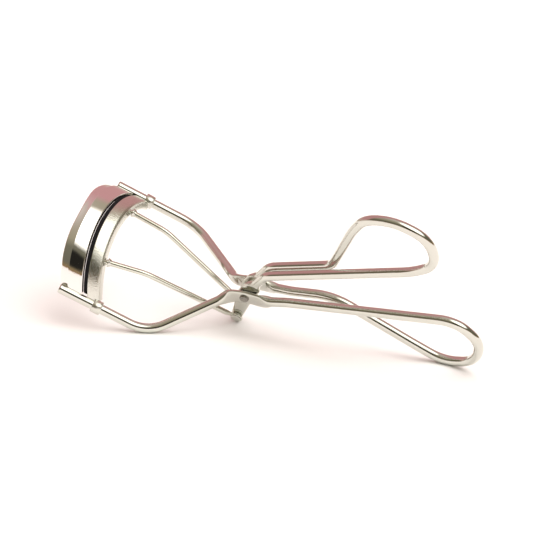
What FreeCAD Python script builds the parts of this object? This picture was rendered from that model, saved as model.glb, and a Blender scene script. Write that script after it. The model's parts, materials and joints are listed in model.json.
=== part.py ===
import FreeCAD, Part
import Sketcher
import math
import os
from FreeCAD import Vector, Rotation, Placement, Matrix

# Eyelash curler.
#
# The mechanism is laid out in a design frame, in millimetres:
#   origin  centre of the scissor pivot
#   +X      from the jaws towards the finger loops
#   +Y      the side on which the jaws arch and the upper finger loop lies
#   +Z      along the pivot rivet, towards the near guide rod
# Every piece is built there, and one common placement then lays the closed
# tool down the way it comes to rest on a table: on the near shoulder of the
# frame, the near pusher eye at the crank and the underside of the lower
# finger loop.

doc = FreeCAD.newDocument("eyelash_curler")

SIZES = [
    # wire stock
    ("frame_wire_dia", 2.4), ("handle_wire_dia", 2.3), ("pusher_wire_dia", 1.4),
    # guide rods and shoulders of the frame
    ("rod_half_spacing", 17.0), ("rod_tip_x", -40.55), ("rod_tip_y", 10.62),
    ("near_tip_extra", 1.3), ("shoulder_x", -21.056), ("shoulder_y", -1.539),
    ("shoulder_bend", 10.0), ("neck_x", -4.4), ("neck_y", -0.616), ("neck_z", 2.64),
    # hammered flats round the pivot
    ("flat_thickness", 1.0), ("flat_halfwidth", 2.2), ("inner_flat_z", 0.75),
    ("flat_gap", 0.08),
    # pivot rivet and crank pin
    ("rivet_radius", 0.75), ("rivet_head_radius", 1.15), ("rivet_head_height", 0.6),
    ("running_gap", 0.08), ("spacer_radius", 1.6), ("spacer_half", 0.70),
    ("pin_radius", 0.7), ("pin_head_radius", 1.3), ("pin_head_height", 0.4),
    ("crank_spacer_radius", 1.2), ("crank_end_halfwidth", 1.45),
    ("crank_x", -4.68), ("crank_y", -10.26),
    # lower finger loop, part of the frame wire
    ("lower_angle", 6.70), ("lower_offset", -1.29), ("lower_half_gap", 1.73),
    # upper finger loop, part of the handle wire
    ("upper_angle", 17.88), ("upper_offset", 6.66), ("upper_half_gap", 1.41),
    ("lever_angle", 53.0), ("lever_flat_end", 5.6), ("lever_bend", 6.0),
    # where each finger loop leaves its shank
    ("upper_kink_u", 27.45), ("upper_kink_bend", 3.9),
    ("lower_kink_u", 21.98), ("lower_kink_bend", 14.4),
    # jaws: skewed bands that follow the guide rods
    ("jaw_rise", 10.25), ("fixed_front_x", -41.1), ("fixed_rear_x", -36.3),
    ("fixed_thickness", 1.0), ("lip_radius", 0.75),
    ("moving_front_x", -35.1), ("moving_rear_x", -32.4), ("channel_floor_x", -33.5),
    ("flange_thickness", 0.5), ("groove_width", 1.4), ("channel_angle", 58.5),
    ("pad_front_x", -36.2), ("pad_rear_x", -34.1), ("pad_angle", 57.0),
    ("ear_station", 13.94), ("ear_length", 2.4), ("ear_radius", 2.0),
    # pushers
    ("pusher_hole_x", -32.95), ("pusher_hole_z", 8.1),
    ("spigot_radius", 0.5), ("spigot_gap", 0.12), ("spigot_reach", 0.9),
    ("collar_start", 1.2), ("collar_length", 0.9), ("collar_radius", 1.15),
    ("pusher_bend_x", -22.91), ("pusher_bend_y", 8.73), ("pusher_bend_z", 6.68),
    ("pusher_bend_radius", 9.0), ("eye_radius", 1.6), ("eye_hole_radius", 0.97),
    ("eye_thickness", 0.7), ("eye_shift_x", 0.0729), ("eye_shift_y", -0.1647),
    ("neck_start", 1.15), ("neck_length", 2.0), ("neck_halfwidth", 0.75),
    ("pusher_wire_start", 2.2), ("pusher_wire_lift", 0.05),
    # attitude of the closed tool on the table: the table's normal in the
    # design frame
    ("table_nx", 0.02124), ("table_ny", 0.82498), ("table_nz", -0.56477),
]

sheet = doc.addObject("Spreadsheet::Sheet", "sizes")
for i, (name, value) in enumerate(SIZES):
    sheet.set("A%d" % (i + 1), name)
    sheet.set("B%d" % (i + 1), str(value))
    sheet.setAlias("B%d" % (i + 1), name)
# derived sizes, kept in the sheet so that features can be bound to them
DERIVED = [
    ("outer_flat_z", "=inner_flat_z + flat_thickness + flat_gap"),
    ("stack_z", "=outer_flat_z + flat_thickness"),
    ("rivet_head_top", "=stack_z + rivet_head_height"),
    ("eye_inner_z", "=inner_flat_z + flat_thickness + flat_gap"),
    ("eye_outer_z", "=eye_inner_z + eye_thickness"),
    ("pin_head_under", "=eye_outer_z + flat_gap"),
    ("pin_head_top", "=pin_head_under + pin_head_height"),
]
for j, (name, formula) in enumerate(DERIVED):
    row = len(SIZES) + 1 + j
    sheet.set("A%d" % row, name)
    sheet.set("B%d" % row, formula)
    sheet.setAlias("B%d" % row, name)
doc.recompute()


def S(name):
    return float(sheet.get(name))


# ---------------------------------------------------------------- placement
normal = Vector(S("table_nx"), S("table_ny"), S("table_nz"))
normal.normalize()
x_axis = Vector(1, 0, 0) - normal * normal.x
x_axis.normalize()
y_axis = normal.cross(x_axis)
turn = Rotation(Matrix(x_axis.x, x_axis.y, x_axis.z, 0,
                       y_axis.x, y_axis.y, y_axis.z, 0,
                       normal.x, normal.y, normal.z, 0,
                       0, 0, 0, 1))

# ---------------------------------------------------------------- wire tools


def arc_route(points, bends):
    """Straight runs joined by tangent arcs, as one wire."""
    edges = []
    start = points[0]
    for k in range(1, len(points) - 1):
        a, b, c = points[k - 1], points[k], points[k + 1]
        d1 = (b - a)
        d2 = (c - b)
        l1, l2 = d1.Length, d2.Length
        d1 = d1 / l1
        d2 = d2 / l2
        turn_angle = math.acos(max(-1.0, min(1.0, d1.dot(d2))))
        room = 0.49 * min(l1, l2)
        if k == 1:
            room = min(0.95 * l1, 0.49 * l2)
        if k == len(points) - 2:
            room = min(0.49 * l1, 0.95 * l2)
        radius = bends[k]
        if radius is None:
            tangent = room
            radius = tangent / math.tan(turn_angle / 2)
        else:
            tangent = min(radius * math.tan(turn_angle / 2), room)
            radius = tangent / math.tan(turn_angle / 2)
        p = b - d1 * tangent
        q = b + d2 * tangent
        bis = (d2 - d1)
        bis.normalize()
        centre = b + bis * (radius / math.cos(turn_angle / 2))
        out = (b - centre)
        out.normalize()
        mid = centre + out * radius
        if (p - start).Length > 1e-4:
            edges.append(Part.LineSegment(start, p).toShape())
        edges.append(Part.Arc(p, mid, q).toShape())
        start = q
    if (points[-1] - start).Length > 1e-4:
        edges.append(Part.LineSegment(start, points[-1]).toShape())
    return Part.Wire(edges)


def bent_wire(points, bends, dia):
    route = arc_route(points, bends)
    ring = Part.Wire([Part.makeCircle(dia / 2, points[0], points[1] - points[0])])
    solid = route.makePipeShell([ring], True, False)
    want = math.pi * dia * dia / 4 * route.Length
    if abs(solid.Volume - want) > 0.02 * want:
        print("bent wire volume", solid.Volume, "expected", want)
    return solid


def strap(points, half, z0, z1):
    """Hammered flat: a plate of constant half width along a 2-D line."""
    body = None
    for p in points:
        disc = Part.makeCylinder(half, z1 - z0, Vector(p[0], p[1], z0))
        body = disc if body is None else body.fuse(disc)
    for a, b in zip(points[:-1], points[1:]):
        d = Vector(b[0] - a[0], b[1] - a[1], 0)
        d.normalize()
        side = Vector(-d.y, d.x, 0) * half
        a3, b3 = Vector(a[0], a[1], z0), Vector(b[0], b[1], z0)
        face = Part.Face(Part.makePolygon([a3 + side, a3 - side, b3 - side, b3 + side, a3 + side]))
        body = body.fuse(face.extrude(Vector(0, 0, z1 - z0)))
    return body.removeSplitter()


def taper(a, b, half_a, half_b, z0, z1):
    """Hammered flat that narrows from a to b, with rounded ends."""
    d = Vector(b[0] - a[0], b[1] - a[1], 0)
    span = d.Length
    d.normalize()
    out = Vector(-d.y, d.x, 0)
    lean = math.acos((half_a - half_b) / span)
    left = d * math.cos(lean) + out * math.sin(lean)
    right = d * math.cos(lean) - out * math.sin(lean)
    a3, b3 = Vector(a[0], a[1], z0), Vector(b[0], b[1], z0)
    face = Part.Face(Part.makePolygon([a3 + left * half_a, a3 + right * half_a, b3 + right * half_b,
                                       b3 + left * half_b, a3 + left * half_a]))
    body = face.extrude(Vector(0, 0, z1 - z0))
    body = body.fuse([Part.makeCylinder(half_a, z1 - z0, a3), Part.makeCylinder(half_b, z1 - z0, b3)])
    return body.removeSplitter()


def rod(radius, a, b):
    return Part.makeCylinder(radius, (b - a).Length, a, b - a)


pieces = []


def keep_shape(label, shape):
    if shape.ShapeType == "Compound" and len(shape.Solids) == 1:
        shape = shape.Solids[0]
    obj = doc.addObject("Part::Feature", label)
    obj.Label = label
    obj.Shape = shape
    pieces.append((obj, Placement()))
    return obj


def keep_body(body, local):
    pieces.append((body, local))


# ---------------------------------------------------------------- directions
half = S("rod_half_spacing")
tip = Vector(S("rod_tip_x"), S("rod_tip_y"), 0)
shoulder = Vector(S("shoulder_x"), S("shoulder_y"), 0)
along = (tip - shoulder)
along.normalize()                       # guide rod direction, towards the tips
slope = (tip.y - shoulder.y) / (tip.x - shoulder.x)


def rod_y(x):
    return shoulder.y + (x - shoulder.x) * slope


rise = S("jaw_rise")
arch = (half * half + rise * rise) / (2 * rise)   # outer radius of the jaws
arch_angle = math.degrees(math.asin(half / arch))


def arch_centre_y(x):
    return rod_y(x) + rise - arch


# Finger loops: along the shank, away from the shank, share of the half gap
UPPER_OUTLINE = [
    (S("upper_kink_u"), 0.0, -1.0), (40.98, 14.29, 0.11), (46.41, 18.32, 0.52),
    (53.29, 17.14, 0.78), (57.63, 12.66, 0.89), (58.54, 9.07, 0.95),
    (57.67, 4.68, 1.0), (55.34, 1.69, 1.0), (50.07, 0.22, 1.0),
]
LOWER_OUTLINE = [
    (S("lower_kink_u"), 0.0, -1.0), (40.86, 13.83, 0.21), (47.11, 17.95, 0.62),
    (54.17, 16.67, 0.78), (57.13, 12.93, 0.89), (58.20, 8.60, 0.95),
    (57.88, 5.62, 1.0), (55.59, 1.47, 1.0), (52.15, -0.36, 1.0),
]


def loop_points(outline, angle, offset, side, gap):
    """Corners of one finger loop, from the kink round to the straight wire."""
    c, s = math.cos(math.radians(angle)), math.sin(math.radians(angle))
    pts = []
    for u, v, w in outline:
        d = offset + side * v
        pts.append(Vector(c * u - s * d, s * u + c * d, w * gap))
    return pts


def handle_point(angle, offset, u, z):
    c, s = math.cos(math.radians(angle)), math.sin(math.radians(angle))
    return Vector(c * u - s * offset, s * u + c * offset, z)


# ---------------------------------------------------------------- frame wire
# One wire: near guide rod, near flat, lower finger loop, far flat, far rod.
fd = S("frame_wire_dia")
z_in, z_out = S("outer_flat_z"), S("stack_z")
z_mid = (z_in + z_out) / 2
near_tip = tip + along * S("near_tip_extra") + Vector(0, 0, half)
far_tip = tip - Vector(0, 0, half)
neck = Vector(S("neck_x"), S("neck_y"), 0)
near_rod = bent_wire([near_tip, shoulder + Vector(0, 0, half), neck + Vector(0, 0, S("neck_z"))],
                     [None, S("shoulder_bend"), None], fd)
far_rod = bent_wire([far_tip, shoulder - Vector(0, 0, half), neck - Vector(0, 0, S("neck_z"))],
                    [None, S("shoulder_bend"), None], fd)
la, lo, lg = S("lower_angle"), S("lower_offset"), S("lower_half_gap")
lower = [handle_point(la, lo, 4.4, -z_mid), handle_point(la, lo, 11.0, -lg)]
lower += loop_points(LOWER_OUTLINE, la, lo, -1, lg)
lower += [handle_point(la, lo, 11.0, lg), handle_point(la, lo, 4.4, z_mid)]
lower_bends = [None, 20.0, S("lower_kink_bend")] + [None] * 8 + [20.0, None]
lower_loop = bent_wire(lower, lower_bends, fd)
fw = S("flat_halfwidth")
flat_line = [(-3.1, -0.40), (0.0, 0.0), (3.6, -0.72)]
near_flat = strap(flat_line, fw, z_in, z_out)
far_flat = strap(flat_line, fw, -z_out, -z_in)
frame = near_rod.fuse([near_flat, lower_loop, far_flat, far_rod])
frame = frame.cut(rod(S("rivet_radius"), Vector(0, 0, -6), Vector(0, 0, 6)))
keep_shape("frame_wire", frame)

# ---------------------------------------------------------------- handle wire
# One wire bent double; both ends are hammered flat into a lever that crosses
# the pivot and ends in the crank.
hd = S("handle_wire_dia")
i0 = S("inner_flat_z")
i1 = i0 + S("flat_thickness")
im = (i0 + i1) / 2
ua, uo, ug = S("upper_angle"), S("upper_offset"), S("upper_half_gap")
lev = math.radians(S("lever_angle"))
lever = Vector(math.cos(lev), math.sin(lev), 0)
# the corner where the lever meets the straight part of the handle
c, s = math.cos(math.radians(ua)), math.sin(math.radians(ua))
reach = uo / (-lever.x * s + lever.y * c)
corner = lever * reach
upper = [lever * 4.7 + Vector(0, 0, -im), corner + Vector(0, 0, -ug)]
upper += loop_points(UPPER_OUTLINE, ua, uo, 1, ug)
upper += [corner + Vector(0, 0, ug), lever * 4.7 + Vector(0, 0, im)]
upper_bends = [None, S("lever_bend"), S("upper_kink_bend")] + [None] * 8 + [S("lever_bend"), None]
upper_loop = bent_wire(upper, upper_bends, hd)
crank = Vector(S("crank_x"), S("crank_y"), 0)
lever_end = lever * (S("lever_flat_end") - fw * 0.5)
lever_line = [(0.0, 0.0), (lever_end.x, lever_end.y)]
lever_flats = []
for low, high in ((i0, i1), (-i1, -i0)):
    arm = taper((0.0, 0.0), (crank.x, crank.y), fw, S("crank_end_halfwidth"), low, high)
    lever_flats.append(strap(lever_line, fw, low, high).fuse(arm).removeSplitter())
handle = upper_loop.fuse(lever_flats)
handle = handle.cut(rod(S("rivet_radius") + S("running_gap"), Vector(0, 0, -6), Vector(0, 0, 6)))
handle = handle.cut(rod(S("pin_radius"), crank + Vector(0, 0, -6), crank + Vector(0, 0, 6)))
keep_shape("handle_wire", handle)


# ---------------------------------------------------------------- jaws
def band(x0, x1, r0, r1, degrees):
    """Arched strip between two planes square to X, drawn out along the rods."""
    t = math.radians(degrees)
    cy = arch_centre_y(x0)

    def at(r, a):
        return Vector(x0, cy + r * math.cos(a), r * math.sin(a))
    edges = [
        Part.Arc(at(r1, -t), at(r1, 0), at(r1, t)).toShape(),
        Part.LineSegment(at(r1, t), at(r0, t)).toShape(),
        Part.Arc(at(r0, t), at(r0, 0), at(r0, -t)).toShape(),
        Part.LineSegment(at(r0, -t), at(r1, -t)).toShape(),
    ]
    face = Part.Face(Part.Wire(edges))
    return face.extrude(Vector(x1 - x0, (x1 - x0) * slope, 0))


def rod_line(side, radius, s0, s1):
    a = shoulder + along * s0 + Vector(0, 0, side * half)
    b = shoulder + along * s1 + Vector(0, 0, side * half)
    return rod(radius, a, b)


# fixed jaw: polished band brazed to the front of the rods, its front edge
# rolled into a lip
fx0, fx1 = S("fixed_front_x"), S("fixed_rear_x")
fixed = band(fx1, fx0, arch - S("fixed_thickness"), arch, arch_angle)
lr = S("lip_radius")
t = math.radians(arch_angle)
cy = arch_centre_y(fx0)
lip_r = arch - lr
lip_arc = Part.Arc(Vector(fx0, cy + lip_r * math.cos(t), -lip_r * math.sin(t)),
                   Vector(fx0, cy + lip_r, 0),
                   Vector(fx0, cy + lip_r * math.cos(t), lip_r * math.sin(t))).toShape()
start_dir = lip_arc.tangentAt(lip_arc.FirstParameter)
lip_ring = Part.Wire([Part.makeCircle(lr, lip_arc.valueAt(lip_arc.FirstParameter), start_dir)])
lip = Part.Wire([lip_arc]).makePipeShell([lip_ring], True, False)
fixed = fixed.fuse(lip)
for side in (-1, 1):
    fixed = fixed.cut(rod_line(side, fd / 2, 5, 40))
keep_shape("fixed_jaw", max(fixed.Solids, key=lambda q: q.Volume))

# moving jaw: a channel that holds the pad, with a sleeve round each rod
mx0, mx1, mxf = S("moving_front_x"), S("moving_rear_x"), S("channel_floor_x")
fl, gw = S("flange_thickness"), S("groove_width")
depth = 2 * fl + gw
ca = S("channel_angle")
channel = band(mx1, mx0, arch - depth, arch, ca)
groove = band(mxf, mx0 - 1.0, arch - fl - gw, arch - fl, ca + 4)
channel = channel.cut(groove)
es, el, er = S("ear_station"), S("ear_length"), S("ear_radius")
for side in (-1, 1):
    channel = channel.fuse(rod_line(side, er, es - el / 2, es + el / 2))
for side in (-1, 1):
    channel = channel.cut(rod_line(side, fd / 2 + S("running_gap"), 5, 30))
hx, hz = S("pusher_hole_x"), S("pusher_hole_z")
mid_r = arch - depth / 2
hy = arch_centre_y(hx) + math.sqrt(mid_r * mid_r - hz * hz)
push_dirs = {}
for side in (-1, 1):
    hole = Vector(hx, hy, side * hz)
    bend = Vector(S("pusher_bend_x"), S("pusher_bend_y"), side * S("pusher_bend_z"))
    d = hole - bend
    d.normalize()
    push_dirs[side] = (hole, bend, d)
    channel = channel.cut(rod(S("spigot_radius") + S("spigot_gap"), hole - d * 3, hole + d * 1.6))
keep_shape("moving_jaw", max(channel.Solids, key=lambda q: q.Volume))

# lash pad: rubber strip seated in the channel
pad = band(S("pad_rear_x"), S("pad_front_x"), arch - fl - gw, arch - fl, S("pad_angle"))
keep_shape("lash_pad", pad)

# ---------------------------------------------------------------- pushers
pd = S("pusher_wire_dia")
eye_at = crank + Vector(S("eye_shift_x"), S("eye_shift_y"), 0)
ez0, ez1 = S("eye_inner_z"), S("eye_outer_z")
for side, label in ((1, "near"), (-1, "far")):
    hole, bend, d = push_dirs[side]
    front = hole - d * S("collar_start")
    back_dir = Vector(bend.x - eye_at.x, bend.y - eye_at.y, 0)
    back_dir.normalize()
    rear = eye_at + back_dir * S("pusher_wire_start") \
        + Vector(0, 0, side * (ez0 + pd / 2 + S("pusher_wire_lift")))
    wire = bent_wire([front, bend, rear], [None, S("pusher_bend_radius"), None], pd)
    spigot = rod(S("spigot_radius"), front - d * 0.4, hole + d * S("spigot_reach"))
    z0 = ez0 if side > 0 else -ez1
    eye = Part.makeCylinder(S("eye_radius"), ez1 - ez0, eye_at + Vector(0, 0, z0))
    # flattened neck between the eye and the round wire
    near_end = eye_at + back_dir * S("neck_start") + Vector(0, 0, z0)
    far_end = near_end + back_dir * S("neck_length")
    across = Vector(-back_dir.y, back_dir.x, 0) * S("neck_halfwidth")
    neck_face = Part.Face(Part.makePolygon([near_end + across, near_end - across,
                                            far_end - across, far_end + across, near_end + across]))
    neck_bar = neck_face.extrude(Vector(0, 0, ez1 - ez0))
    wire = wire.fuse([spigot, eye, neck_bar])
    wire = wire.cut(rod(S("eye_hole_radius"), eye_at + Vector(0, 0, -6), eye_at + Vector(0, 0, 6)))
    keep_shape("pusher_wire_" + label, wire)


# ---------------------------------------------------------------- turned parts
def origin_plane(body, role):
    for feature in body.Origin.OriginFeatures:
        if feature.Role == role:
            return feature
    raise RuntimeError("no plane " + role)


def turned(label, corners, local):
    """Body of revolution about local Z. corners are (radius, height) pairs of
    sheet formulas, closed in order."""
    body = doc.addObject("PartDesign::Body", label)
    body.Label = label
    sk = body.newObject("Sketcher::SketchObject", label + "_profile")
    sk.AttachmentSupport = (origin_plane(body, "XZ_Plane"), [""])
    sk.MapMode = "FlatFace"
    doc.recompute()
    start = []
    for rad, height in corners:
        start.append((number(rad), number(height)))
    n = len(start)
    for k in range(n):
        a, b = start[k], start[(k + 1) % n]
        sk.addGeometry(Part.LineSegment(Vector(a[0], a[1], 0), Vector(b[0], b[1], 0)), False)
    for k in range(n):
        sk.addConstraint(Sketcher.Constraint("Coincident", k, 2, (k + 1) % n, 1))
    for k, (rad, height) in enumerate(corners):
        for kind, text, val in (("DistanceX", rad, start[k][0]), ("DistanceY", height, start[k][1])):
            if abs(val) < 1e-9:
                ref = -2 if kind == "DistanceX" else -1
                sk.addConstraint(Sketcher.Constraint("PointOnObject", k, 1, ref))
            else:
                idx = sk.addConstraint(Sketcher.Constraint(kind, -1, 1, k, 1, val))
                sk.setExpression("Constraints[%d]" % idx, bound(text))
    rev = body.newObject("PartDesign::Revolution", label + "_turn")
    rev.Profile = sk
    rev.ReferenceAxis = (sk, ["V_Axis"])
    rev.Angle = 360.0
    doc.recompute()
    keep_body(body, local)
    return body


NAMES = [q[0] for q in SIZES] + [q[0] for q in DERIVED]


def bound(text):
    out = text
    for name in sorted(NAMES, key=len, reverse=True):
        out = out.replace("<" + name + ">", "sizes." + name)
    return out


def number(text):
    out = text
    for name in NAMES:
        out = out.replace("<" + name + ">", str(S(name)))
    total = 0.0
    for term in out.replace("-", "+-").split("+"):
        term = term.strip()
        if not term:
            continue
        prod = 1.0
        for f in term.split("*"):
            f = f.strip()
            if f.startswith("-"):
                prod = -prod
                f = f[1:].strip()
            prod *= float(f)
        total += prod
    return total


# pivot rivet: shank with a low cone head at each end
turned("pivot_rivet", [
    ("0", "-<rivet_head_top>"), ("<rivet_head_radius>*0.62", "-<rivet_head_top>"),
    ("<rivet_head_radius>", "-<stack_z>-<rivet_head_height>*0.45"),
    ("<rivet_head_radius>", "-<stack_z>"), ("<rivet_radius>", "-<stack_z>"),
    ("<rivet_radius>", "<stack_z>"), ("<rivet_head_radius>", "<stack_z>"),
    ("<rivet_head_radius>", "<stack_z>+<rivet_head_height>*0.45"),
    ("<rivet_head_radius>*0.62", "<rivet_head_top>"), ("0", "<rivet_head_top>"),
], Placement())
# spacer tube on the rivet, between the two lever flats
turned("pivot_spacer", [
    ("<rivet_radius>", "-<spacer_half>"), ("<spacer_radius>", "-<spacer_half>"),
    ("<spacer_radius>", "<spacer_half>"), ("<rivet_radius>", "<spacer_half>"),
], Placement())
# crank pin: riveted through both crank flats, it carries the pusher eyes
turned("crank_pin", [
    ("0", "-<pin_head_top>"), ("<pin_head_radius>*0.7", "-<pin_head_top>"),
    ("<pin_head_radius>", "-<pin_head_under>-<pin_head_height>*0.5"),
    ("<pin_head_radius>", "-<pin_head_under>"), ("<pin_radius>", "-<pin_head_under>"),
    ("<pin_radius>", "<pin_head_under>"), ("<pin_head_radius>", "<pin_head_under>"),
    ("<pin_head_radius>", "<pin_head_under>+<pin_head_height>*0.5"),
    ("<pin_head_radius>*0.7", "<pin_head_top>"), ("0", "<pin_head_top>"),
], Placement(crank, Rotation()))
# spacer tube on the crank pin
turned("crank_spacer", [
    ("<pin_radius>", "-<inner_flat_z>"), ("<crank_spacer_radius>", "-<inner_flat_z>"),
    ("<crank_spacer_radius>", "<inner_flat_z>"), ("<pin_radius>", "<inner_flat_z>"),
], Placement(crank, Rotation()))
# collars pressed on the front ends of the pushers
for side, label in ((1, "near"), (-1, "far")):
    hole, bend, d = push_dirs[side]
    turned("pusher_collar_" + label, [
        ("<pusher_wire_dia>*0.5", "0"), ("<collar_radius>", "0"),
        ("<collar_radius>", "<collar_length>*0.45"),
        ("<collar_radius>*0.8", "<collar_length>"),
        ("<pusher_wire_dia>*0.5", "<collar_length>"),
    ], Placement(hole - d * S("collar_start"), Rotation(Vector(0, 0, 1), d * -1)))

doc.recompute()

# ---------------------------------------------------------------- rest attitude
box = FreeCAD.BoundBox()
for obj, local in pieces:
    trial = obj.Shape.copy()
    if obj.TypeId == "PartDesign::Body":
        trial.Placement = Placement()
    trial.Placement = Placement(Vector(), turn).multiply(local)
    box.add(trial.optimalBoundingBox(True, False))
lift = Vector(-(box.XMin + box.XMax) / 2, -(box.YMin + box.YMax) / 2, -box.ZMin)
rest = Placement(lift, turn)
for obj, local in pieces:
    obj.Placement = rest.multiply(local)
doc.recompute()

# ---------------------------------------------------------------- checks
for obj in doc.Objects:
    if "Invalid" in obj.State or "Error" in obj.State:
        raise RuntimeError("%s is %s" % (obj.Label, obj.State))
for obj, local in pieces:
    shape = obj.Shape
    if shape.isNull() or not shape.isValid() or shape.Volume <= 0:
        raise RuntimeError("%s has no valid solid" % obj.Label)

os.makedirs("parts", exist_ok=True)
for obj, local in pieces:
    obj.Shape.exportStep("parts/%s.step" % obj.Label)
    b = obj.Shape.BoundBox
    print("%-22s solids %d volume %8.2f  x %.2f %.2f  y %.2f %.2f  z %.2f %.2f" % (
        obj.Label, len(obj.Shape.Solids), obj.Shape.Volume,
        b.XMin, b.XMax, b.YMin, b.YMax, b.ZMin, b.ZMax))
print("size %.2f x %.2f x %.2f" % (box.XLength, box.YLength, box.ZLength))
print("lift %.4f %.4f %.4f" % (lift.x, lift.y, lift.z))
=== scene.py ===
import bpy
import bmesh
import json
import math
import numpy as np
from mathutils import Matrix, Vector


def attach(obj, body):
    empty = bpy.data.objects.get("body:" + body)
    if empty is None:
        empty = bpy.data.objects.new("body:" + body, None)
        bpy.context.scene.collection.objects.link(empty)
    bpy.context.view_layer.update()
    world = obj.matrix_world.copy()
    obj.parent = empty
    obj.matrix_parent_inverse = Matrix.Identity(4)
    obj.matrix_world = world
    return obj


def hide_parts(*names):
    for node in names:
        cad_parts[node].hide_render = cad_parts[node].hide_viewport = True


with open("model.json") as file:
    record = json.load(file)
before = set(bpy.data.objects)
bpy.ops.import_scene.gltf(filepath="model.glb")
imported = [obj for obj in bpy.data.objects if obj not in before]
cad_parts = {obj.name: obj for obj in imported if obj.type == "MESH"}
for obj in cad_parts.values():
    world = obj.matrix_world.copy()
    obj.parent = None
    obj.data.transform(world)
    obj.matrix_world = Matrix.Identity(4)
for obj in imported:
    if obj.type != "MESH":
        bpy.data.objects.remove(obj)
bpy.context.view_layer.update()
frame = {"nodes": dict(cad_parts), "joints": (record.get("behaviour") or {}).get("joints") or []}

# --------------------------------------------------------------------------
# Design frame: millimetres, origin at the scissor pivot, +X towards the
# finger loops, +Z along the pivot rivet towards the near guide rod.  TURN and
# LIFT carry it into the part's own frame.
# --------------------------------------------------------------------------
NORMAL = np.array([0.02124, 0.82498, -0.56477])
NORMAL = NORMAL / np.linalg.norm(NORMAL)
XA = np.array([1.0, 0, 0]) - NORMAL * NORMAL[0]
XA = XA / np.linalg.norm(XA)
YA = np.cross(NORMAL, XA)
TURN = np.array([XA, YA, NORMAL])
for joint in frame["joints"]:
    if joint["name"] == "handle_pivot":
        LIFT = np.array(joint["pos_m"]) * 1000.0


def place(points):
    """design frame, mm  ->  part frame, m"""
    p = np.atleast_2d(np.asarray(points, float))
    return (p @ TURN.T + LIFT) / 1000.0


# ------------------------------------------------------------------ sizes
FRAME_R, HANDLE_R, PUSH_R = 1.2, 1.15, 0.7
HALF = 17.0
TIP = np.array([-40.55, 10.62, 0.0])
SHOULDER = np.array([-21.056, -1.539, 0.0])
ALONG = (TIP - SHOULDER) / np.linalg.norm(TIP - SHOULDER)
SLOPE = (TIP[1] - SHOULDER[1]) / (TIP[0] - SHOULDER[0])
RISE = 10.25
ARCH = (HALF ** 2 + RISE ** 2) / (2 * RISE)
INNER, FLAT, GAP = 0.75, 1.0, 0.08
OUTER = INNER + FLAT + GAP
CRANK = np.array([-4.68, -10.26, 0.0])


def rod_y(x):
    return SHOULDER[1] + (x - SHOULDER[0]) * SLOPE


def arch_y(x):
    return rod_y(x) + RISE - ARCH


# ------------------------------------------------------------------ meshes
def unit(v):
    v = np.asarray(v, float)
    n = np.linalg.norm(v)
    return v / n if n else v


def new_object(name, verts, faces, smooth=True, sharp=None):
    me = bpy.data.meshes.new(name)
    me.from_pydata([tuple(v) for v in verts], [], [tuple(f) for f in faces])
    me.validate(verbose=False)
    bm = bmesh.new()
    bm.from_mesh(me)
    bmesh.ops.remove_doubles(bm, verts=bm.verts, dist=1e-8)
    bmesh.ops.dissolve_degenerate(bm, edges=bm.edges, dist=1e-8)
    bmesh.ops.recalc_face_normals(bm, faces=bm.faces)
    if sharp is not None:
        for e in bm.edges:
            if len(e.link_faces) == 2 and e.calc_face_angle(0) > math.radians(sharp):
                e.smooth = False
    bm.to_mesh(me)
    bm.free()
    for p in me.polygons:
        p.use_smooth = smooth
    ob = bpy.data.objects.new(name, me)
    bpy.context.scene.collection.objects.link(ob)
    return ob


def merge(name, parts):
    """parts: list of (verts in m, faces)"""
    verts, faces, base = [], [], 0
    for v, f in parts:
        verts.extend([tuple(q) for q in v])
        faces.extend([tuple(base + i for i in q) for q in f])
        base += len(v)
    return verts, faces


def arc_route(points, bends, step=0.35):
    """Straight runs joined by tangent arcs, sampled."""
    pts = [np.array(p, float) for p in points]
    out = [pts[0]]

    def line_to(q):
        p = out[-1]
        d = np.linalg.norm(q - p)
        n = max(1, int(d / (step * 2.2)))
        for k in range(1, n + 1):
            out.append(p + (q - p) * k / n)
    for k in range(1, len(pts) - 1):
        a, b, c = pts[k - 1], pts[k], pts[k + 1]
        l1, l2 = np.linalg.norm(b - a), np.linalg.norm(c - b)
        d1, d2 = (b - a) / l1, (c - b) / l2
        ang = math.acos(max(-1, min(1, float(d1 @ d2))))
        room = 0.49 * min(l1, l2)
        if k == 1:
            room = min(0.95 * l1, 0.49 * l2)
        if k == len(pts) - 2:
            room = min(0.49 * l1, 0.95 * l2)
        if bends[k] is None:
            tangent = room
        else:
            tangent = min(bends[k] * math.tan(ang / 2), room)
        radius = tangent / math.tan(ang / 2)
        p, q = b - d1 * tangent, b + d2 * tangent
        bis = unit(d2 - d1)
        centre = b + bis * (radius / math.cos(ang / 2))
        line_to(p)
        n = max(5, int(radius * ang / step), int(ang / math.radians(5)))
        u = (p - centre) / radius
        w = unit(np.cross(np.cross(u, d1), u))
        for j in range(1, n + 1):
            t = ang * j / n
            out.append(centre + radius * (math.cos(t) * u + math.sin(t) * w))
    line_to(pts[-1])
    return np.array(out)


def resample(path, step):
    seg = np.linalg.norm(np.diff(path, axis=0), axis=1)
    keep = np.r_[True, seg > 1e-9]
    path = path[keep]
    s = np.r_[0, np.cumsum(np.linalg.norm(np.diff(path, axis=0), axis=1))]
    n = max(2, int(round(s[-1] / step)))
    t = np.linspace(0, s[-1], n + 1)
    return np.stack([np.interp(t, s, path[:, i]) for i in range(3)], 1), t


def smooth_path(path, rounds):
    p = path.copy()
    for _ in range(rounds):
        p[1:-1] = 0.5 * p[1:-1] + 0.25 * (p[:-2] + p[2:])
    return p


def section(half_w, half_t, power, n):
    """Superellipse: width along +w, thickness along +h."""
    t = np.linspace(0, 2 * math.pi, n, endpoint=False)
    c, s = np.cos(t), np.sin(t)
    e = 2.0 / power
    return np.stack([half_w * np.sign(c) * np.abs(c) ** e, half_t * np.sign(s) * np.abs(s) ** e], 1)


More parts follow.
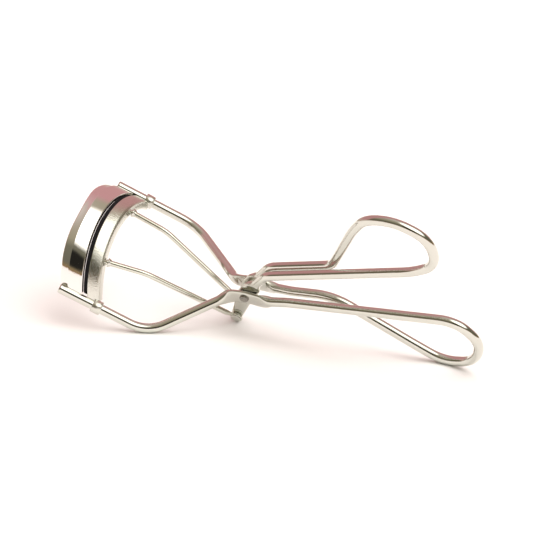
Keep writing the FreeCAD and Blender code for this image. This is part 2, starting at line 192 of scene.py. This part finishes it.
def sweep(path, size, n=28, cap="dome", cap_round=0.35):
    """Tube along a path. size(k) -> (half width, half thickness, power).
    The width lies square to the pivot axis, the thickness along it."""
    m = len(path)
    tang = np.zeros_like(path)
    tang[1:-1] = path[2:] - path[:-2]
    tang[0] = path[1] - path[0]
    tang[-1] = path[-1] - path[-2]
    tang /= np.linalg.norm(tang, axis=1)[:, None]
    rings = []
    zaxis = np.array([0, 0, 1.0])
    for k in range(m):
        w = unit(np.cross(zaxis, tang[k]))
        h = np.cross(tang[k], w)
        hw, ht, pw = size(k)
        sec = section(hw, ht, pw, n)
        rings.append(path[k] + sec[:, :1] * w + sec[:, 1:] * h)
    verts = [v for r in rings for v in r]
    faces = []
    for k in range(m - 1):
        for j in range(n):
            a, b = k * n + j, k * n + (j + 1) % n
            faces.append((a, b, b + n, a + n))
    # rounded ends
    for end in (0, m - 1):
        out = -tang[0] if end == 0 else tang[-1]
        ring = rings[end]
        centre = path[end]
        base = end * n
        last = list(range(base, base + n))
        if cap == "dome":
            steps = [(math.sin(a), math.cos(a)) for a in np.radians([22, 45, 68, 86])]
            for up, shrink in steps:
                start = len(verts)
                for v in ring:
                    d = v - centre
                    r = np.linalg.norm(d)
                    k2 = (r - cap_round + cap_round * shrink) / r
                    verts.append(centre + d * k2 + out * (cap_round * up - cap_round))
                cur = list(range(start, start + n))
                for j in range(n):
                    faces.append((last[j], last[(j + 1) % n], cur[(j + 1) % n], cur[j]))
                last = cur
            # pull the first ring back so that the end stays in place
            for j in range(n):
                verts[base + j] = verts[base + j] - out * cap_round
        faces.append(tuple(last))
    return place(verts), faces


def lathe(profile, origin, axis, n=48):
    """profile: (radius, height) pairs; closed on the axis where radius is 0."""
    axis = unit(axis)
    ref = unit(np.cross(axis, [0.3, 1, 0.2]))
    ref2 = np.cross(axis, ref)
    verts, faces, idx = [], [], []
    for r, z in profile:
        if r < 1e-6:
            idx.append([len(verts)])
            verts.append(np.array(origin) + axis * z)
        else:
            row = []
            for j in range(n):
                t = 2 * math.pi * j / n
                row.append(len(verts))
                verts.append(np.array(origin) + axis * z + r * (math.cos(t) * ref + math.sin(t) * ref2))
            idx.append(row)
    closed = profile[0][0] > 1e-6 and profile[-1][0] > 1e-6
    pairs = list(zip(range(len(idx) - 1), range(1, len(idx))))
    if closed:
        pairs.append((len(idx) - 1, 0))
    for a, b in pairs:
        A, B = idx[a], idx[b]
        for j in range(n):
            k = (j + 1) % n
            if len(A) == 1 and len(B) == 1:
                continue
            if len(A) == 1:
                faces.append((A[0], B[k], B[j]))
            elif len(B) == 1:
                faces.append((A[j], A[k], B[0]))
            else:
                faces.append((A[j], A[k], B[k], B[j]))
    return place(verts), faces


def rounded(corners, radius, n=5):
    """Polygon with its corners rounded. corners: (x, r, own radius or None)."""
    out = []
    m = len(corners)
    for k in range(m):
        a = np.array(corners[k - 1][:2], float)
        b = np.array(corners[k][:2], float)
        c = np.array(corners[(k + 1) % m][:2], float)
        rad = corners[k][2] if len(corners[k]) > 2 and corners[k][2] is not None else radius
        d1, d2 = unit(b - a), unit(c - b)
        ang = math.acos(max(-1, min(1, float(d1 @ d2))))
        if ang < 1e-3 or rad <= 0:
            out.append(b)
            continue
        tan = min(rad * math.tan(ang / 2), 0.49 * np.linalg.norm(b - a), 0.49 * np.linalg.norm(c - b))
        rr = tan / math.tan(ang / 2)
        p = b - d1 * tan
        cen = b + unit(d2 - d1) * rr / math.cos(ang / 2)
        u = (p - cen) / rr
        w = d1
        for j in range(n + 1):
            t = ang * j / n
            out.append(cen + rr * (math.cos(t) * u + math.sin(t) * w))
    return out


def smoothstep(t):
    t = min(1.0, max(0.0, t))
    return t * t * (3 - 2 * t)


def arch_sweep(profile, degrees, steps=120, skew=0.0, hinge_x=0.0, reach=1.0):
    """Sweep an (x, r) profile round the skewed arch of the jaws. With a skew
    the front edge is slightly hollow round the crown, fading out at hinge_x."""
    n = len(profile)
    verts, faces = [], []
    angs = np.linspace(-degrees, degrees, steps + 1)
    for a in angs:
        t = math.radians(a)
        back = skew * smoothstep((45.0 - a) / 85.0) * smoothstep((a + 35.0) / 45.0)
        for x, r in profile:
            x = x + back * min(1.0, max(0.0, (hinge_x - x) / reach))
            verts.append((x, arch_y(x) + r * math.cos(t), r * math.sin(t)))
    for k in range(steps):
        for j in range(n):
            a, b = k * n + j, k * n + (j + 1) % n
            faces.append((a, b, b + n, a + n))
    faces.append(tuple(range(n)))
    faces.append(tuple(range(steps * n, steps * n + n)))
    return place(verts), faces


# ------------------------------------------------------------------ routes
def handle_point(angle, offset, u, z, side=0, v=0.0):
    c, s = math.cos(math.radians(angle)), math.sin(math.radians(angle))
    d = offset + side * v
    return np.array([c * u - s * d, s * u + c * d, z])


UPPER = [(27.45, 0.0, -1.0), (40.98, 14.29, 0.11), (46.41, 18.32, 0.52), (53.29, 17.14, 0.78), (57.63, 12.66, 0.89),
         (58.54, 9.07, 0.95), (57.67, 4.68, 1.0), (55.34, 1.69, 1.0), (50.07, 0.22, 1.0)]
LOWER = [(21.98, 0.0, -1.0), (40.86, 13.83, 0.21), (47.11, 17.95, 0.62), (54.17, 16.67, 0.78), (57.13, 12.93, 0.89),
         (58.20, 8.60, 0.95), (57.88, 5.62, 1.0), (55.59, 1.47, 1.0), (52.15, -0.36, 1.0)]


def loop_points(outline, angle, offset, side, gap):
    return [handle_point(angle, offset, u, w * gap, side, v) for u, v, w in outline]


z_mid = OUTER + FLAT / 2
i_mid = INNER + FLAT / 2
LA, LO, LG = 6.70, -1.29, 1.73
UA, UO, UG = 17.88, 6.66, 1.41
NECK = np.array([-4.4, -0.616, 0.0])

near_tip = TIP + ALONG * 1.3 + [0, 0, HALF]
far_tip = TIP - [0, 0, HALF]
near_rod = arc_route([near_tip, SHOULDER + [0, 0, HALF], NECK + [0, 0, 2.64]], [None, 10.0, None])
far_rod = arc_route([far_tip, SHOULDER - [0, 0, HALF], NECK - [0, 0, 2.64]], [None, 10.0, None])
lower = [handle_point(LA, LO, 4.4, -z_mid), handle_point(LA, LO, 11.0, -LG)] + loop_points(LOWER, LA, LO, -1, LG) \
    + [handle_point(LA, LO, 11.0, LG), handle_point(LA, LO, 4.4, z_mid)]
lower_route = arc_route(lower, [None, 20.0, 14.4] + [None] * 8 + [20.0, None])


def flat_points(sign):
    return np.array([(-2.6, -0.34, sign * z_mid), (-1.2, -0.16, sign * z_mid), (0, -0.12, sign * z_mid),
                     (1.5, -0.34, sign * z_mid), (3.0, -0.62, sign * z_mid)])


frame_path = np.vstack([near_rod, flat_points(1)[::1], lower_route[::-1], flat_points(-1)[::-1], far_rod[::-1]])
frame_path, fs = resample(frame_path, 0.36)
frame_path = smooth_path(frame_path, 3)


def frame_size(k):
    p = frame_path[k]
    d = math.hypot(p[0], p[1])
    lead = 3.4 if p[0] < 0 else 4.0
    f = 1.0 - smoothstep((d - lead) / 3.4) if d < 9 else 0.0
    # widest over the rivet, tapering into the round wire
    wide = FRAME_R + (2.2 - FRAME_R) * f
    thick = FRAME_R + (FLAT / 2 - FRAME_R) * (1.0 - smoothstep((d - lead + 0.2) / 2.6) if d < 9 else 0.0)
    return wide, thick, 2.0 + 2.6 * f


parts = [sweep(frame_path, frame_size, n=32)]
v, f = merge("frame_wire", parts)
frame_wire = new_object("frame_wire_bent", v, f, sharp=60)

# handle wire: crank, pivot flat, lever, finger loop and back
lev = math.radians(53.0)
LEVER = np.array([math.cos(lev), math.sin(lev), 0.0])
c_, s_ = math.cos(math.radians(UA)), math.sin(math.radians(UA))
reach = UO / (-LEVER[0] * s_ + LEVER[1] * c_)
corner = LEVER * reach
crank_dir = unit(-CRANK)


CRANK_END = 1.45


def lever_run(sign):
    start = CRANK - crank_dir * (CRANK_END - 0.02)
    pts = [start + [0, 0, sign * i_mid], np.array([0, 0, sign * i_mid]), LEVER * 4.7 + [0, 0, sign * i_mid]]
    return arc_route(pts, [None, 6.0, None])


upper = [LEVER * 4.8 + [0, 0, -i_mid], corner + [0, 0, -UG]] + loop_points(UPPER, UA, UO, 1, UG) \
    + [corner + [0, 0, UG], LEVER * 4.8 + [0, 0, i_mid]]
upper_route = arc_route(upper, [None, 6.0, 3.9] + [None] * 8 + [6.0, None])
handle_path = np.vstack([lever_run(-1), upper_route, lever_run(1)[::-1]])
handle_path, hs = resample(handle_path, 0.34)
handle_path = smooth_path(handle_path, 3)
hs = np.r_[0, np.cumsum(np.linalg.norm(np.diff(handle_path, axis=0), axis=1))]


def handle_size(k):
    p = handle_path[k]
    along = p[0] * LEVER[0] + p[1] * LEVER[1]
    near_end = min(hs[k], hs[-1] - hs[k])
    d = math.hypot(p[0], p[1])
    if p[1] < 0 or d < 3.2:
        f = 1.0
    else:
        f = 1.0 - smoothstep((d - 3.2) / 3.6) if d < 12 and near_end < 40 else 0.0
    wide = HANDLE_R + (2.2 - HANDLE_R) * f
    thick = HANDLE_R + (FLAT / 2 - HANDLE_R) * f
    power = 2.0 + 2.6 * f
    if p[1] < 0:
        # the crank narrows from the pivot to its rounded end
        span = math.hypot(CRANK[0], CRANK[1])
        run = min(1.0, max(0.0, -(p[0] * crank_dir[0] + p[1] * crank_dir[1]) / span))
        wide = 2.2 + (CRANK_END - 2.2) * run
    if near_end < CRANK_END - 0.02:
        wide = max(0.4, math.sqrt(max(0.0, CRANK_END ** 2 - (CRANK_END - near_end) ** 2)))
    return wide, thick, power


v, f = merge("handle_wire", [sweep(handle_path, handle_size, n=32, cap_round=0.12)])
handle_wire = new_object("handle_wire_bent", v, f, sharp=60)

# ------------------------------------------------------------------ jaws
fx0, fx1 = -41.1, -36.3
lip = 0.75
# the front 1.4 mm of the band leans down and ends in a rolled edge
prof = [(fx0 + 1.55, ARCH), (fx0 + 1.43, ARCH - 0.06), (fx0 - 0.02, ARCH - 0.66)]
for a in np.radians(np.arange(118, 281, 18)):
    prof.append((fx0 - 0.02 + 0.5 * math.cos(a), ARCH - 1.14 + 0.5 * math.sin(a)))
prof += [(fx0 + 0.5, ARCH - 1.5), (fx0 + 1.1, ARCH - 1.18)]
rear = rounded([(fx0 + 1.6, ARCH - 1.0, 0), (fx1, ARCH - 1.0, 0.2), (fx1, ARCH, 0.16), (fx0 + 1.7, ARCH, 0)], 0.2)
prof += [tuple(q) for q in rear]
v, f = arch_sweep(prof, 61.0, skew=1.25, hinge_x=-37.0, reach=3.4)
fixed_jaw = new_object("fixed_jaw_band", v, f, sharp=50)

mx0, mx1, mxf = -35.1, -32.4, -33.5
fl, gw = 0.5, 1.4
depth = 2 * fl + gw
chan = rounded([(mx0, ARCH, 0.16), (mx0, ARCH - fl, 0.12), (mxf, ARCH - fl, 0.15), (mxf, ARCH - fl - gw, 0.15),
                (mx0, ARCH - fl - gw, 0.12), (mx0, ARCH - depth, 0.16), (mx1, ARCH - depth, 0.55), (mx1, ARCH, 0.6)], 0.2)
parts = [arch_sweep([tuple(q) for q in chan], 57.6)]
for side in (-1, 1):
    base = SHOULDER + [0, 0, side * HALF]
    e0, e1 = 12.74, 15.14
    ear = [(1.29, e0 + 0.1), (1.39, e0), (1.58, e0), (1.7, e0 + 0.12), (1.72, (e0 + e1) / 2), (1.7, e1 - 0.12),
           (1.58, e1), (1.39, e1), (1.29, e1 - 0.1)]
    parts.append(lathe(ear, base, ALONG))
v, f = merge("moving_jaw", parts)
moving_jaw = new_object("moving_jaw_channel", v, f, sharp=50)

px0, px1 = -36.2, -34.1
padp = rounded([(px0, ARCH - fl - gw, 0.3), (px1, ARCH - fl - gw, 0.1), (px1, ARCH - fl, 0.1), (px0, ARCH - fl, 0.3)], 0.2)
v, f = arch_sweep([tuple(q) for q in padp], 56.9)
lash_pad = new_object("lash_pad_strip", v, f, sharp=50)

# ------------------------------------------------------------------ pushers
hx, hz = -32.95, 8.1
mid_r = ARCH - depth / 2
hy = arch_y(hx) + math.sqrt(mid_r ** 2 - hz ** 2)
EYE = CRANK + np.array([0.0729, -0.1647, 0.0])
ez0, ez1 = OUTER, OUTER + 0.7
pusher_wires, pusher_collars = {}, {}
for side, label in ((1, "near"), (-1, "far")):
    hole = np.array([hx, hy, side * hz])
    bend = np.array([-22.91, 8.73, side * 6.68])
    d = unit(hole - bend)
    front = hole - d * 1.2
    back = unit(np.array([bend[0] - EYE[0], bend[1] - EYE[1], 0]))
    lift_end = EYE + back * 2.2 + np.array([0, 0, side * (ez0 + 0.75)])
    rear = EYE + back * 1.15 + np.array([0, 0, side * (ez0 + 0.36)])
    route = np.vstack([arc_route([front + d * 0.35, bend, lift_end], [None, 9.0, None], step=0.3), rear])
    route, _ = resample(route, 0.3)
    route = smooth_path(route, 2)
    m = len(route)

    def push_size(k, m=m, route=route):
        left = np.linalg.norm(route[k] - route[-1])
        f = 1.0 - smoothstep((left - 0.7) / 1.6)
        return 0.7 + 0.05 * f, 0.7 - 0.37 * f, 2.0 + 1.6 * f
    parts = [sweep(route, push_size, n=24, cap_round=0.12)]
    spig = [(0, -1.2), (0.38, -1.2), (0.5, -1.08), (0.5, 0.9), (0.0, 0.9)]
    spig = [(r, z) for r, z in spig]
    sp = [(0.0, 0.9), (0.42, 0.9), (0.5, 0.82), (0.5, -1.5), (0.0, -1.5)]
    parts.append(lathe(sp, hole, d, n=24))
    zc = ez0 if side > 0 else -ez1
    e = 0.16
    ri, ro = 0.97, 1.6
    ring = [(ri, e), (ri + e, 0), (ro - e, 0), (ro, e), (ro, 0.7 - e), (ro - e, 0.7), (ri + e, 0.7), (ri, 0.7 - e)]
    parts.append(lathe(ring, EYE + np.array([0, 0, zc]), (0, 0, 1)))
    v, f = merge("pusher", parts)
    pusher_wires[label] = new_object("pusher_%s_formed" % label, v, f, sharp=50)
    col = [(0.66, 0.0), (1.0, 0.0), (1.13, 0.1), (1.15, 0.28), (1.06, 0.42), (0.93, 0.6), (0.88, 0.78), (0.82, 0.9), (0.66, 0.9)]
    v, f = lathe(col, hole - d * 1.2, -d, n=40)
    pusher_collars[label] = new_object("pusher_collar_%s_turned" % label, v, f, sharp=50)

# ------------------------------------------------------------------ rivets
stack = OUTER + FLAT


def headed(shank, head, top, under, dome=6):
    pts = [(0.0, -top)]
    for k in range(dome, -1, -1):
        a = math.radians(90 * k / dome)
        pts.append((head * math.cos(a) if k else head, -(under + (top - under) * math.sin(a) if k else under + 0.12)))
    pts = [q for q in pts if q[0] > 1e-6 or q[1] == -top]
    low = [(0.0, -top)] + [(head * math.cos(math.radians(a)), -(under + 0.14 + (top - under - 0.14) * math.sin(math.radians(a))))
                           for a in (75, 60, 45, 30, 15, 0)] + [(head, -under - 0.02), (head - 0.04, -under), (shank, -under)]
    high = [(r, -z) for r, z in reversed(low)]
    return low + high


dimpled = [(0.0, stack + 0.2), (0.3, stack + 0.24), (0.52, stack + 0.42), (0.66, stack + 0.55), (0.8, stack + 0.6),
           (0.96, stack + 0.56), (1.09, stack + 0.44), (1.15, stack + 0.26), (1.15, stack + 0.02), (1.11, stack), (0.75, stack)]
v, f = lathe([(r, -z) for r, z in dimpled] + dimpled[::-1], (0, 0, 0), (0, 0, 1))
pivot_rivet = new_object("pivot_rivet_headed", v, f, sharp=50)
v, f = lathe(headed(0.7, 1.3, ez1 + GAP + 0.4, ez1 + GAP), CRANK, (0, 0, 1))
crank_pin = new_object("crank_pin_headed", v, f, sharp=50)

# ------------------------------------------------------------------ materials
def nodes_of(mat):
    mat.use_nodes = True
    nt = mat.node_tree
    nt.nodes.clear()
    return nt, nt.nodes, nt.links


def ramp(node, stops):
    cr = node.color_ramp
    while len(cr.elements) > 1:
        cr.elements.remove(cr.elements[-1])
    cr.elements[0].position = stops[0][0]
    cr.elements[0].color = stops[0][1]
    for pos, col in stops[1:]:
        e = cr.elements.new(pos)
        e.color = col


def metal(name, tint_a, tint_b, rough_a, rough_b, grain=900.0, bump=0.02, brush=None):
    """Plated metal: slightly uneven tone and gloss, fine wear, and for a
    brushed face a long grain."""
    mat = bpy.data.materials.new(name)
    nt, N, L = nodes_of(mat)
    out = N.new("ShaderNodeOutputMaterial")
    bs = N.new("ShaderNodeBsdfPrincipled")
    L.new(bs.outputs[0], out.inputs[0])
    bs.inputs["Metallic"].default_value = 1.0
    tc = N.new("ShaderNodeTexCoord")
    cloud = N.new("ShaderNodeTexNoise")
    cloud.inputs["Scale"].default_value = 190.0
    cloud.inputs["Detail"].default_value = 4.0
    L.new(tc.outputs["Object"], cloud.inputs["Vector"])
    mix = N.new("ShaderNodeMix")
    mix.data_type = "RGBA"
    mix.inputs["A"].default_value = tint_a
    mix.inputs["B"].default_value = tint_b
    L.new(cloud.outputs["Fac"], mix.inputs["Factor"])
    L.new(mix.outputs["Result"], bs.inputs["Base Color"])
    speck = N.new("ShaderNodeTexNoise")
    speck.inputs["Scale"].default_value = grain
    speck.inputs["Detail"].default_value = 6.0
    speck.inputs["Roughness"].default_value = 0.65
    vec = tc.outputs["Object"]
    if brush is not None:
        mp = N.new("ShaderNodeMapping")
        mp.inputs["Rotation"].default_value = brush[0]
        mp.inputs["Scale"].default_value = brush[1]
        L.new(vec, mp.inputs["Vector"])
        vec = mp.outputs["Vector"]
    L.new(vec, speck.inputs["Vector"])
    mr = N.new("ShaderNodeMapRange")
    mr.inputs["From Min"].default_value = 0.3
    mr.inputs["From Max"].default_value = 0.7
    mr.inputs["To Min"].default_value = rough_a
    mr.inputs["To Max"].default_value = rough_b
    L.new(speck.outputs["Fac"], mr.inputs["Value"])
    L.new(mr.outputs["Result"], bs.inputs["Roughness"])
    bp = N.new("ShaderNodeBump")
    bp.inputs["Strength"].default_value = bump
    bp.inputs["Distance"].default_value = 0.0002
    L.new(speck.outputs["Fac"], bp.inputs["Height"])
    L.new(bp.outputs["Normal"], bs.inputs["Normal"])
    return mat


nickel = metal("nickel_wire", (0.645, 0.65, 0.59, 1), (0.715, 0.72, 0.66, 1), 0.06, 0.12, grain=1500, bump=0.05)
nickel_thin = metal("nickel_thin_wire", (0.655, 0.665, 0.585, 1), (0.725, 0.735, 0.66, 1), 0.10, 0.16, grain=1800, bump=0.05)
mirror_plate = metal("polished_band", (0.84, 0.82, 0.79, 1), (0.88, 0.87, 0.84, 1), 0.04, 0.09, grain=700, bump=0.03)
satin = metal("satin_band", (0.65, 0.655, 0.60, 1), (0.75, 0.755, 0.69, 1), 0.15, 0.27, grain=420, bump=0.25,
              brush=((0.0, 0.0, 0.0), (0.25, 9.0, 9.0)))
rivet_steel = metal("rivet_steel", (0.22, 0.21, 0.185, 1), (0.34, 0.325, 0.29, 1), 0.16, 0.28, grain=1400, bump=0.08)
fittings = metal("riveted_fittings", (0.64, 0.64, 0.59, 1), (0.72, 0.72, 0.67, 1), 0.14, 0.24, grain=1400, bump=0.08)


def rubber(name):
    mat = bpy.data.materials.new(name)
    nt, N, L = nodes_of(mat)
    out = N.new("ShaderNodeOutputMaterial")
    bs = N.new("ShaderNodeBsdfPrincipled")
    L.new(bs.outputs[0], out.inputs[0])
    tc = N.new("ShaderNodeTexCoord")
    n1 = N.new("ShaderNodeTexNoise")
    n1.inputs["Scale"].default_value = 2600
    n1.inputs["Detail"].default_value = 5
    L.new(tc.outputs["Object"], n1.inputs["Vector"])
    mix = N.new("ShaderNodeMix")
    mix.data_type = "RGBA"
    mix.inputs["A"].default_value = (0.004, 0.004, 0.0045, 1)
    mix.inputs["B"].default_value = (0.014, 0.0135, 0.0145, 1)
    L.new(n1.outputs["Fac"], mix.inputs["Factor"])
    L.new(mix.outputs["Result"], bs.inputs["Base Color"])
    bs.inputs["Roughness"].default_value = 0.7
    bs.inputs["Specular IOR Level"].default_value = 0.12
    bp = N.new("ShaderNodeBump")
    bp.inputs["Strength"].default_value = 0.3
    bp.inputs["Distance"].default_value = 0.0001
    L.new(n1.outputs["Fac"], bp.inputs["Height"])
    L.new(bp.outputs["Normal"], bs.inputs["Normal"])
    return mat


pad_rubber = rubber("pad_rubber_black")


def finish_piece(ob, mat, body, slot, *replaced):
    ob.data.materials.clear()
    ob.data.materials.append(mat)
    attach(ob, body)
    if replaced:
        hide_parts(*replaced)


finish_piece(frame_wire, nickel, "frame", "frame_wire", "frame_wire")
finish_piece(handle_wire, nickel, "handle", "handle_wire", "handle_wire")
finish_piece(fixed_jaw, mirror_plate, "frame", "polished_jaw", "fixed_jaw")
finish_piece(moving_jaw, satin, "moving_jaw", "satin_jaw", "moving_jaw")
finish_piece(lash_pad, pad_rubber, "moving_jaw", "pad_rubber", "lash_pad")
for label in ("near", "far"):
    finish_piece(pusher_wires[label], nickel_thin, "pushers", "pusher_wire", "pusher_wire_" + label)
    finish_piece(pusher_collars[label], fittings, "pushers", "turned_fittings", "pusher_collar_" + label)
finish_piece(pivot_rivet, rivet_steel, "frame", "turned_fittings", "pivot_rivet")
finish_piece(crank_pin, fittings, "handle", "turned_fittings", "crank_pin")
for name in ("pivot_spacer", "crank_spacer"):
    ob = frame["nodes"][name]
    ob.data.materials.clear()
    ob.data.materials.append(fittings)

# ------------------------------------------------------------------ stage
bpy.ops.mesh.primitive_plane_add(size=1, location=(0, 0, 0))
floor = bpy.context.active_object
floor.name = "studio_floor"
floor.scale = (3.2, 3.2, 1)
floor_mat = bpy.data.materials.new("pale_floor")
nt, N, L = nodes_of(floor_mat)
o = N.new("ShaderNodeOutputMaterial")
b = N.new("ShaderNodeBsdfPrincipled")
L.new(b.outputs[0], o.inputs[0])
tcf = N.new("ShaderNodeTexCoord")
nf = N.new("ShaderNodeTexNoise")
nf.inputs["Scale"].default_value = 30
L.new(tcf.outputs["Object"], nf.inputs["Vector"])
mixf = N.new("ShaderNodeMix")
mixf.data_type = "RGBA"
mixf.inputs["A"].default_value = (0.93, 0.93, 0.925, 1)
mixf.inputs["B"].default_value = (0.95, 0.95, 0.945, 1)
L.new(nf.outputs["Fac"], mixf.inputs["Factor"])
L.new(mixf.outputs["Result"], b.inputs["Base Color"])
b.inputs["Roughness"].default_value = 0.9
b.inputs["Specular IOR Level"].default_value = 0.0
floor.data.materials.append(floor_mat)

world = bpy.data.worlds.new("studio")
bpy.context.scene.world = world
world.use_nodes = True
nt = world.node_tree
nt.nodes.clear()
N, L = nt.nodes, nt.links
wo = N.new("ShaderNodeOutputWorld")
bg = N.new("ShaderNodeBackground")
L.new(bg.outputs[0], wo.inputs[0])
tc = N.new("ShaderNodeTexCoord")
sep = N.new("ShaderNodeSeparateXYZ")
L.new(tc.outputs["Generated"], sep.inputs[0])
el = N.new("ShaderNodeMath")
el.operation = "ARCSINE"
L.new(sep.outputs["Z"], el.inputs[0])
sc = N.new("ShaderNodeMath")
sc.operation = "DIVIDE"
sc.inputs[1].default_value = math.pi / 2
L.new(el.outputs[0], sc.inputs[0])
def lobe(az, el_deg, full, none):
    """1 inside `full` degrees of a direction, 0 outside `none` degrees."""
    a_, e_ = math.radians(az), math.radians(el_deg)
    dot = N.new("ShaderNodeVectorMath")
    dot.operation = "DOT_PRODUCT"
    L.new(tc.outputs["Generated"], dot.inputs[0])
    dot.inputs[1].default_value = (math.cos(a_) * math.cos(e_), math.sin(a_) * math.cos(e_), math.sin(e_))
    m = N.new("ShaderNodeMapRange")
    m.interpolation_type = "SMOOTHSTEP"
    m.inputs["From Min"].default_value = math.cos(math.radians(none))
    m.inputs["From Max"].default_value = math.cos(math.radians(full))
    L.new(dot.outputs["Value"], m.inputs["Value"])
    return m.outputs["Result"]


def blend(a, b, fac):
    """a, b: socket or colour"""
    m = N.new("ShaderNodeMix")
    m.data_type = "RGBA"
    for key, val in (("A", a), ("B", b)):
        if isinstance(val, tuple):
            m.inputs[key].default_value = val
        else:
            L.new(val, m.inputs[key])
    L.new(fac, m.inputs["Factor"])
    return m.outputs["Result"]


# room on the viewer's side: dim low down, cream higher up
front = N.new("ShaderNodeValToRGB")
ramp(front, [(0.0, (0.33, 0.21, 0.10, 1)), (0.06, (0.21, 0.17, 0.10, 1)), (0.10, (0.17, 0.155, 0.115, 1)),
             (0.36, (0.195, 0.18, 0.13, 1)), (0.50, (0.39, 0.345, 0.245, 1)), (0.68, (0.46, 0.40, 0.31, 1)),
             (1.0, (0.72, 0.62, 0.57, 1))])
# warm pink wall behind and to the left
rearr = N.new("ShaderNodeValToRGB")
ramp(rearr, [(0.0, (0.60, 0.52, 0.43, 1)), (0.08, (0.66, 0.46, 0.42, 1)), (0.18, (0.62, 0.325, 0.325, 1)),
             (0.55, (0.62, 0.325, 0.33, 1)), (0.75, (0.66, 0.41, 0.41, 1)), (1.0, (0.72, 0.62, 0.57, 1))])
L.new(sc.outputs[0], front.inputs[0])
L.new(sc.outputs[0], rearr.inputs[0])
wall = lobe(130.0, 0.0, 69.0, 84.0)
colour = blend(front.outputs["Color"], rearr.outputs["Color"], wall)
colour = blend(colour, (0.02, 0.018, 0.015, 1), lobe(-63.0, 16.5, 8.5, 14.5))
colour = blend(colour, (2.3, 2.2, 2.05, 1), lobe(-18.0, 50.0, 21.0, 33.0))
L.new(colour, bg.inputs["Color"])
bg.inputs["Strength"].default_value = 1.0


def area(name, loc, target, size, power, color=(1, 1, 1)):
    li = bpy.data.lights.new(name, "AREA")
    li.shape = "RECTANGLE"
    li.size, li.size_y = size
    li.energy = power
    li.color = color
    ob = bpy.data.objects.new(name, li)
    ob.location = loc
    ob.rotation_euler = (Vector(target) - Vector(loc)).to_track_quat("-Z", "Y").to_euler()
    ob.visible_glossy = False
    bpy.context.scene.collection.objects.link(ob)
    return ob


area("key_top", (0.25, 0.25, 0.9), (0, 0, 0), (1.1, 1.1), 6.2)
area("fill_left", (-0.75, -0.35, 0.55), (0, 0, 0.01), (0.8, 0.9), 2.3)
area("fill_right", (0.8, -0.45, 0.6), (0, 0, 0.01), (0.8, 0.9), 2.3)

# ------------------------------------------------------------------ camera
RM = np.array([[0.9234, -0.1837, -0.3370], [0.1684, -0.5952, 0.7858], [-0.3449, -0.7823, -0.5187]])
U_, _s, V_ = np.linalg.svd(RM)
RM = U_ @ V_
T_CAM = np.array([-5.411, 4.722, 377.914])
F_PX = 1529.05
eye = -RM.T @ T_CAM
cam_data = bpy.data.cameras.new("photo_camera")
cam_data.sensor_width = 36.0
cam_data.lens = F_PX * 36.0 / 540.0
cam_data.clip_start = 0.01
cam_data.clip_end = 20
cam = bpy.data.objects.new("photo_camera", cam_data)
rot = TURN @ RM.T @ np.diag([1.0, -1.0, -1.0])
mw = Matrix([list(rot[0]) + [0], list(rot[1]) + [0], list(rot[2]) + [0], [0, 0, 0, 1]])
mw.translation = Vector(place(eye)[0])
cam.matrix_world = mw
bpy.context.scene.collection.objects.link(cam)
bpy.context.scene.camera = cam
bpy.context.scene.view_settings.view_transform = "Standard"
